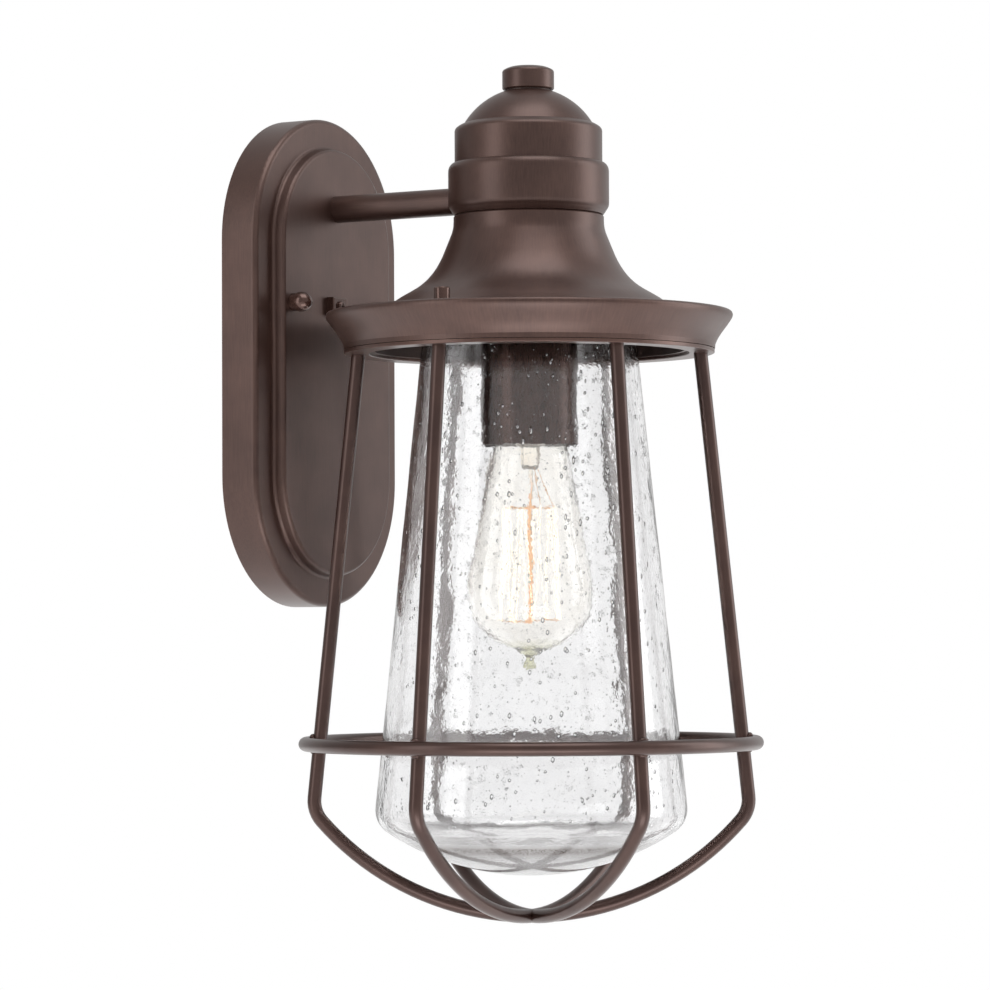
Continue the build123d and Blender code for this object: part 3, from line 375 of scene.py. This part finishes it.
def seeded_glass(name):
    """Clear mouth-blown glass: fine ripples, specks of gas, a faint inner film and a base greyed by painted
    reflection of the hoop and rods and painted shade.
    """
    kit = Nodes(name)
    base, painted_grey = shade_base(kit)
    specks = kit.span(kit.noise(speck_size, 3), 0.42, 0.62, 0.6, 1.0)
    painted_grey = kit.math("MULTIPLY", painted_grey, specks)
    ripple = kit.noise(ripple_size, 2, kit.stretched(ripple_stretch), 0.5, 0.3)
    pebble = kit.noise(pebble_size, 2, roughness=0.5)
    calm = kit.math("MULTIPLY", ripple, kit.span(base, 0, 0.8, 1.0, 0.3))
    relief = kit.bump(pebble, pebble_depth, kit.bump(calm, ripple_depth))
    tint = kit.mix(kit.span(ripple, 0.35, 0.7), shade_tint, shade_deeper)
    # The base greys with painted reflection of the hoop and rods and with painted shade
    tint = kit.mix(painted_grey, tint, painted_reflection_grey)
    dust = kit.span(kit.noise(glass_dust_size, 5), 0.5, 0.75, 0.0, 0.02)
    film = kit.math("MULTIPLY", shade_inside(kit), kit.math("SUBTRACT", 1.0, base))
    clear = kit.math("MULTIPLY_ADD", kit.math("MULTIPLY", film, specks), -film_cover, 1.0)
    clear = kit.math("MULTIPLY_ADD", painted_grey, -reflection_grey_cover, clear)
    kit.set(Base_Color=tint, Roughness=dust, Normal=relief, Transmission_Weight=clear)
    kit.set(IOR=1.5, Specular_IOR_Level=0.3)
    return kit.material


def blown_glass(name, tint, deeper, glow, foot_tint, foot_top, foot_full):
    """Thin clear glass of the bulb, lit from inside. Its foot, by height in the bulb, has its own tint."""
    kit = Nodes(name)
    sag = kit.noise(sag_size, 2)
    colour = kit.mix(kit.span(sag, 0.35, 0.65), tint, deeper)
    height = kit.split(kit.place)["Z"]
    foot = kit.span(height, bulb_foot_z + foot_top, bulb_foot_z + foot_full)
    colour = kit.mix(foot, colour, foot_tint)
    smudge = kit.span(kit.noise(smudge_size, 4), 0.5, 0.8, 0.0, 0.04)
    kit.set(Base_Color=colour, Roughness=smudge, Normal=kit.bump(sag, sag_depth, strength=0.6))
    kit.set(Transmission_Weight=1.0, IOR=1.46, Emission_Color=bulb_glow, Emission_Strength=glow)
    return kit.material


def glowing(name, cool, hot, strength, patch_size):
    """Hot wire: its glow changes a little along its length."""
    kit = Nodes(name)
    colour = kit.mix(kit.span(kit.noise(patch_size, 3), 0.3, 0.7), cool, hot)
    grit = kit.noise(wire_grit_size, 2)
    roughness = kit.span(grit, 0.3, 0.7, 0.4, 0.6)
    kit.set(Base_Color=colour, Roughness=roughness, Normal=kit.bump(grit, wire_grit_depth))
    kit.set(Emission_Color=colour, Emission_Strength=strength)
    return kit.material


# ---------------------------------------------------------------- looks of the material slots

looks = {
    "bronze_plate": bronze("satin_bronze_plate", "upright"),
    "bronze_arm": bronze("satin_bronze_arm", "outward"),
    "bronze_crown": bronze("satin_bronze_crown", "turned"),
    "bronze_hood": bronze("satin_bronze_hood", "turned", tone=1.05),
    # The cup's darker tone is painted shade, for its place under the hood and inside the glass
    "bronze_cup": bronze("satin_bronze_cup_painted_shade", "turned", tone=0.62, rough=0.28, coat=0.08),
    "bronze_cage": bronze(
        "satin_bronze_cage", "plain", tone=0.95, rough=0.34, wear_and_highlight=0, grain_depth=0.25
    ),
    "bronze_ring": bronze("satin_bronze_ring", "plain", tone=1.3, rough=0.34),
    "bronze_dark": bronze("satin_bronze_dark", "plain", tone=0.55, rough=0.48, wear_and_highlight=0.3),
    "bronze_nut": bronze("satin_bronze_nut", "plain", tone=1.2, rough=0.18, wear_and_highlight=0.7),
    "zinc": plated("zinc_plated_steel", rgb(0.62, 0.63, 0.64), rgb(0.42, 0.42, 0.40), 0.34),
    "green_screw": plated(
        "green_passivated_steel", rgb(0.10, 0.34, 0.13), rgb(0.04, 0.17, 0.06), 0.36
    ),
    "nickel_brass": plated("nickel_plated_brass", rgb(0.72, 0.66, 0.54), rgb(0.50, 0.44, 0.34), 0.26),
    "copper": plated("bare_copper", rgb(0.83, 0.42, 0.24), rgb(0.42, 0.19, 0.10), 0.34),
    "solder": plated("tin_solder", rgb(0.62, 0.62, 0.60), rgb(0.36, 0.35, 0.34), 0.3),
    "porcelain": moulded(
        "glazed_porcelain", rgb(0.80, 0.78, 0.73), rgb(0.70, 0.68, 0.62), 0.22, coat=0.5
    ),
    "foam": foam("black_foam_gasket"),
    "gasket_rubber": moulded("gasket_rubber", rgb(0.045, 0.044, 0.043), rgb(0.022, 0.022, 0.022), 0.7),
    "black_plastic": moulded("black_nylon", rgb(0.035, 0.034, 0.033), rgb(0.018, 0.018, 0.018), 0.45),
    "black_insulator": moulded(
        "black_vitrite", rgb(0.03, 0.03, 0.034), rgb(0.012, 0.012, 0.014), 0.2, coat=0.4
    ),
    "black_lead": moulded("black_wire_jacket", rgb(0.03, 0.03, 0.03), rgb(0.014, 0.014, 0.014), 0.5),
    "white_lead": moulded("white_wire_jacket", rgb(0.74, 0.73, 0.70), rgb(0.60, 0.59, 0.56), 0.48),
    "connector": moulded("orange_wire_connector", rgb(0.80, 0.26, 0.05), rgb(0.60, 0.17, 0.03), 0.42),
    "seeded_glass": seeded_glass("clear_seeded_glass"),
    "bulb_clear": blown_glass(
        "clear_bulb_glass", tint=rgb(1.0, 0.995, 0.98), deeper=rgb(0.985, 0.975, 0.95), glow=0.03,
        foot_tint=rgb(0.62, 0.62, 0.45), foot_top=14 * mm, foot_full=7 * mm,
    ),
    "stem_glass": blown_glass(
        "pressed_stem_glass", tint=rgb(0.98, 0.96, 0.92), deeper=rgb(0.93, 0.88, 0.80), glow=0.05,
        foot_tint=rgb(0.92, 0.52, 0.26), foot_top=90 * mm, foot_full=78 * mm,
    ),
    "filament": glowing(
        "lit_filament", rgb(1.0, 0.86, 0.62), rgb(1.0, 0.93, 0.78), strength=1.15, patch_size=12 * mm
    ),
    "support_wire": glowing(
        "lit_support_wire", rgb(0.62, 0.36, 0.20), rgb(0.85, 0.55, 0.32), strength=0.3, patch_size=5 * mm
    ),
}
for part in frame["record"]["subparts"]:
    for place in nodes[part["node"]].material_slots:
        place.material = looks[part["material_slot"]]


# ---------------------------------------------------------------- mesh kit


def new_piece(name, mesh_data, body, slot):
    """A finished mesh as a piece that rides on a CAD body."""
    piece = bpy.data.objects.new(name, mesh_data)
    bpy.context.scene.collection.objects.link(piece)
    mesh_data.materials.append(looks[slot])
    for face in mesh_data.polygons:
        face.use_smooth = True
    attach(piece, body)
    return piece


def arc_points(middle, radius, start, end, count):
    """Points of an arc in the radius and height plane, angles in radians from outward."""
    points = []
    for step in range(count + 1):
        angle = start + (end - start) * step / count
        points.append(Vector((middle[0] + radius * math.cos(angle), middle[1] + radius * math.sin(angle))))
    return points


def line_points(start, end, count):
    """Points after the start of a line, up to its end."""
    return [Vector(start).lerp(Vector(end), (step + 1) / count) for step in range(count)]


def held(value):
    """The value, kept from 0 to 1."""
    return max(0.0, min(1.0, value))


# ---------------------------------------------------------------- seeded glass shade

shade_foot = shade_low.z - hood_z
shade_arc = 119 * mm             # radius of the domed bottom
shade_corner = 12 * mm           # radius between the bottom and the side
lip_radius = 51.5 * mm
lip_height = 3 * mm
lip_bead = 0.8 * mm
shade_sides = 176
dome_steps = 20
corner_steps = 8
side_steps = 56
calm_height = -5 * mm            # above this the glass is gripped, and stays even
calm_fade = 12 * mm
calm_base = 24 * mm              # the base is thicker and smoother than the sides
wave_depth = 0.26 * mm
wave_scales = (42, 120)          # waves and ripples in a metre
wave_shares = (0.7, 0.35)
outside_seed = 3.1
inside_seed = 17.7


def side_radius(height, inset):
    return shade_side + shade_slope * (shade_datum - height) - inset


def shade_wall_points(inset, top):
    """The shade's outline from the middle of its bottom up to its top."""
    arc = shade_arc - inset
    corner = shade_corner - inset
    arc_height = shade_foot + shade_arc
    lean = math.hypot(1, shade_slope)
    # The corner's centre lies on a line inside the side and on a circle inside the dome
    start = side_radius(0, inset) - corner * lean
    square = 1 + shade_slope**2
    half = shade_slope * start + arc_height
    rest = start**2 + arc_height**2 - (arc - corner) ** 2
    corner_height = (half - math.sqrt(half**2 - square * rest)) / square
    middle = (start - shade_slope * corner_height, corner_height)
    dome_turn = math.atan2(corner_height - arc_height, middle[0])
    side_turn = math.atan2(shade_slope, 1)
    points = arc_points((0, arc_height), arc, -math.pi / 2, dome_turn, dome_steps)
    points += arc_points(middle, corner, dome_turn, side_turn, corner_steps)[1:]
    points += line_points(points[-1], (side_radius(top, inset), top), side_steps)
    return points


def shade_outline():
    """Outline from the outside's lowest point over the lip to the inside's, and where the inside starts."""
    under_lip = shade_top - lip_height
    outside = shade_wall_points(0, under_lip)
    lip = [
        Vector((lip_radius - lip_bead, under_lip)),
        Vector((lip_radius, under_lip + lip_bead)),
        Vector((lip_radius, shade_top - lip_bead)),
        Vector((lip_radius - lip_bead, shade_top)),
    ]
    inside = shade_wall_points(shade_wall, shade_top)
    inside.reverse()
    return outside + lip + inside, len(outside) + len(lip) // 2


def wave(place, seed):
    """Gentle unevenness of blown glass, from about -1 to 1."""
    broad = noise.noise(place * wave_scales[0] + Vector((seed, 0, 0)))
    ripple = noise.noise(place * wave_scales[1] + Vector((0, seed, 0)))
    return wave_shares[0] * broad + wave_shares[1] * ripple


def make_shade():
    """One glass solid with uneven walls, and its seeds as cavities in the wall."""
    outline, turnover = shade_outline()
    points = []
    rings = []
    for index, (radius, height) in enumerate(outline):
        before = outline[max(index - 1, 0)]
        after = outline[min(index + 1, len(outline) - 1)]
        out = Vector((after.y - before.y, before.x - after.x)).normalized()
        calm = held((calm_height - height) / calm_fade)
        calm *= held((height - shade_foot) / calm_base)
        seed = outside_seed if index < turnover else inside_seed
        sides = 1 if radius < 1e-6 else shade_sides
        rings.append(range(len(points), len(points) + sides))
        for step in range(sides):
            angle = 360 * step / shade_sides
            push = calm * wave_depth * wave(around(radius, angle, height), seed) if sides > 1 else 0
            points.append(around(radius + out.x * push, angle, height + out.y * push))
    faces = []
    for lower, upper in zip(rings, rings[1:]):
        for step in range(shade_sides):
            following = (step + 1) % shade_sides
            corners = [lower[step % len(lower)], lower[following % len(lower)]]
            corners += [upper[following % len(upper)], upper[step % len(upper)]]
            faces.append(list(dict.fromkeys(corners)))
    add_seeds(points, faces)
    mesh_data = bpy.data.meshes.new("glass_shade_seeded")
    mesh_data.from_pydata(points, [], faces)
    return mesh_data


large_seeds = 4200
large_size = 0.22 * mm           # least radius of a round seed
large_spread = 0.75 * mm
fine_seeds = 5000
fine_size = 0.14 * mm            # least radius of a speck
fine_spread = 0.10 * mm
drawn_size = 0.5 * mm            # seeds over this radius may be drawn out along the height
seed_flatness = 0.24             # seeds are pressed flat through the wall
seed_skin = 0.12 * mm            # least glass left over a seed
seeds_above_foot = 24 * mm
seeds_below_top = 8 * mm


def large_form():
    """Corners and faces of a round seed, its faces turned inward."""
    form = bmesh.new()
    bmesh.ops.create_icosphere(form, subdivisions=1, radius=1.0)
    corners = [corner.co.copy() for corner in form.verts]
    faces = [[corner.index for corner in reversed(face.verts)] for face in form.faces]
    form.free()
    return corners, faces


def fine_form():
    """Corners and faces of a speck too small to show its form, its faces turned inward."""
    corners = [Vector((0, 0, 1)), Vector((0, 0, -1))]
    corners += [Vector((1, 0, 0)), Vector((0, 1, 0)), Vector((-1, 0, 0)), Vector((0, -1, 0))]
    sides = ((2, 3), (3, 4), (4, 5), (5, 2))
    faces = [[0, second, first] for first, second in sides]
    faces += [[1, first, second] for first, second in sides]
    return corners, faces


def add_seeds(points, faces):
    """Gas seeds: many specks, some round ones, and a few drawn out along the height."""
    chance = random.Random(7)
    forms = {True: large_form(), False: fine_form()}
    low = shade_foot + seeds_above_foot
    high = shade_top - seeds_below_top
    side_lean = Matrix.Rotation(math.atan(shade_slope), 4, "X")
    for index in range(large_seeds + fine_seeds):
        large = index < large_seeds
        height = low + (high - low) * chance.random()
        angle = 360 * chance.random()
        if large:
            size = large_size + large_spread * chance.random() ** 4
        else:
            size = fine_size + fine_spread * chance.random()
        stretch = 1 + 0.15 * chance.random()
        if size > drawn_size:
            drawn = 1.6 if height > (low + high) / 2 else 0.5
            stretch += drawn * chance.random() ** 2
        room = shade_wall / 2 - seed_skin - size * seed_flatness
        depth = shade_wall / 2 + max(room, 0) * (2 * chance.random() - 1)
        middle = Matrix.Translation(around(side_radius(height, depth), angle, height))
        lean = Matrix.Rotation(math.radians(angle), 4, "Z") @ side_lean
        shape = Matrix.Diagonal((size, size * seed_flatness, size * stretch, 1))
        place = middle @ lean @ shape
        first = len(points)
        corners, sides = forms[large]
        points.extend(place @ corner for corner in corners)
        faces.extend([first + number for number in side] for side in sides)


shade = new_piece("glass_shade_seeded", make_shade(), "cage", "seeded_glass")
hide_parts("glass_shade")

# ---------------------------------------------------------------- welds of the cage

rod_radius = 3.175 * mm
rod_count = 6
bead_rise = 3.0 * mm             # beads above and below the hoop's middle
bead_form = (2.3 * mm, 1.5 * mm, 1.6 * mm)
bead_unevenness = 0.25 * mm
bead_lump_scale = 900            # lumps in a metre


def make_welds():
    """Small uneven weld beads where the upright rods meet the hoop."""
    hoop_low, hoop_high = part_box("cage_hoop")
    meeting = (hoop_high.x - hoop_low.x) / 2 - 2 * rod_radius
    middle_height = (hoop_low.z + hoop_high.z) / 2 - hood_z
    form = bmesh.new()
    for index in range(2 * rod_count):
        angle = (index // 2 + 0.5) * 360 / rod_count
        side = 1 if index % 2 else -1
        place = around(meeting, angle, middle_height + side * bead_rise)
        turn = Matrix.Rotation(math.radians(angle), 4, "Z")
        form_place = Matrix.Translation(place) @ turn @ Matrix.Diagonal((*bead_form, 1))
        bmesh.ops.create_icosphere(form, subdivisions=3, radius=1.0, matrix=form_place)
    for corner in form.verts:
        corner.co += corner.normal * (bead_unevenness * noise.noise(corner.co * bead_lump_scale))
    mesh_data = bpy.data.meshes.new("cage_weld_beads")
    form.to_mesh(mesh_data)
    form.free()
    return mesh_data


new_piece("cage_weld_beads", make_welds(), "cage", "bronze_cage")

# ---------------------------------------------------------------- camera

camera_place = Vector((-1.6465, -1.09985, -0.15356))
camera_azimuth = math.radians(-59.0)
camera_elevation = math.radians(-1.89)
camera_roll = math.radians(-0.238)
lens_length = 151.96             # lens and sensor in millimetres, as Blender has them
sensor_width = 36
near_limit = 0.05

to_camera = Vector(
    (
        math.sin(camera_azimuth) * math.cos(camera_elevation),
        -math.cos(camera_azimuth) * math.cos(camera_elevation),
        math.sin(camera_elevation),
    )
)
rightward = Vector((math.cos(camera_azimuth), math.sin(camera_azimuth), 0))
upward = to_camera.cross(rightward)


def make_camera():
    turned_right = rightward * math.cos(camera_roll) + upward * math.sin(camera_roll)
    turned_up = upward * math.cos(camera_roll) - rightward * math.sin(camera_roll)
    facing = Matrix((turned_right, turned_up, to_camera)).transposed()
    lens = bpy.data.cameras.new("studio_camera")
    lens.lens = lens_length
    lens.sensor_width = sensor_width
    lens.clip_start = near_limit
    camera = bpy.data.objects.new("studio_camera", lens)
    camera.matrix_world = Matrix.Translation(camera_place) @ facing.to_4x4()
    bpy.context.scene.collection.objects.link(camera)
    bpy.context.scene.camera = camera


# ---------------------------------------------------------------- floor, surroundings and lamps

floor_drop = 0.34                # floor below the lantern's foot
floor_radius = 2.9
plaster_patch = 0.4
seen_strength = 1.0              # surroundings as seen directly and through glass
mirrored_left = 0.40             # and as mirrored by surfaces, at the camera's left and right
mirrored_right = 0.69
mirrored_tint = rgb(1.0, 0.99, 0.985)
lamp_aim = centre + Vector((0, 0, -60 * mm))


def make_floor():
    """Pale plastered floor, far under the lantern."""
    form = bmesh.new()
    bmesh.ops.create_circle(form, cap_ends=True, segments=96, radius=floor_radius)
    mesh_data = bpy.data.meshes.new("pale_floor")
    form.to_mesh(mesh_data)
    form.free()
    kit = Nodes("pale_plaster")
    cloud = kit.noise(plaster_patch, 4)
    kit.set(Base_Color=kit.mix(cloud, rgb(0.90, 0.90, 0.90), rgb(0.94, 0.94, 0.94)), Roughness=0.9)
    mesh_data.materials.append(kit.material)
    floor = bpy.data.objects.new("pale_floor", mesh_data)
    floor.location = (0, axis_y, cad_box[0][2] - floor_drop)
    bpy.context.scene.collection.objects.link(floor)


def make_world():
    """White surroundings for sight, and dimmer ones for reflections, so that metal has form."""
    world = bpy.data.worlds.new("studio")
    bpy.context.scene.world = world
    world.use_nodes = True
    tree = world.node_tree
    join = tree.links.new
    seen = tree.nodes["Background"]
    seen.inputs["Color"].default_value = rgb(1, 1, 1)
    seen.inputs["Strength"].default_value = seen_strength
    dim = tree.nodes.new("ShaderNodeBackground")
    dim.inputs["Color"].default_value = mirrored_tint
    # From -1 at the left to 1 at the right
    aim = tree.nodes.new("ShaderNodeTexCoord")
    across = tree.nodes.new("ShaderNodeVectorMath")
    across.operation = "DOT_PRODUCT"
    across.inputs[1].default_value = rightward
    join(aim.outputs["Generated"], across.inputs[0])
    dimmer = tree.nodes.new("ShaderNodeMapRange")
    dimmer.inputs["From Min"].default_value = -1.0
    dimmer.inputs["To Min"].default_value = mirrored_left
    dimmer.inputs["To Max"].default_value = mirrored_right
    join(across.outputs["Value"], dimmer.inputs["Value"])
    join(dimmer.outputs[0], dim.inputs["Strength"])
    path = tree.nodes.new("ShaderNodeLightPath")
    mirrored = tree.nodes.new("ShaderNodeMath")
    mirrored.operation = "MULTIPLY"
    join(path.outputs["Is Glossy Ray"], mirrored.inputs[0])
    join(path.outputs["Is Reflection Ray"], mirrored.inputs[1])
    chosen = tree.nodes.new("ShaderNodeMixShader")
    for socket, source in zip(chosen.inputs, (mirrored, seen, dim)):
        join(source.outputs[0], socket)
    join(chosen.outputs[0], tree.nodes["World Output"].inputs["Surface"])


def soft_box(name, right, near, rise, width, height, power):
    """Lamp to the right of, nearer than and above the lantern as the camera sees it, facing it."""
    lamp = bpy.data.lights.new(name, "AREA")
    lamp.shape = "RECTANGLE"
    lamp.size = width
    lamp.size_y = height
    lamp.energy = power
    nearer = Vector((to_camera.x, to_camera.y, 0)).normalized()
    spot = lamp_aim + rightward * right + nearer * near + Vector((0, 0, rise))
    piece = bpy.data.objects.new(name, lamp)
    piece.rotation_euler = (lamp_aim - spot).to_track_quat("-Z", "Y").to_euler()
    piece.location = spot
    piece.visible_camera = False
    bpy.context.scene.collection.objects.link(piece)


make_floor()
make_world()
make_camera()
soft_box("left_box", right=-1.3, near=0.9, rise=0.35, width=0.7, height=1.6, power=6)
soft_box("right_box", right=1.45, near=-0.15, rise=0.30, width=0.8, height=1.7, power=8.6)
soft_box("top_box", right=0.15, near=0.5, rise=1.5, width=1.2, height=1.2, power=11)
soft_box("low_box", right=0.05, near=0.46, rise=-0.5, width=0.6, height=0.35, power=1.6)

view = bpy.context.scene.view_settings
view.view_transform = "Standard"
view.look = "None"
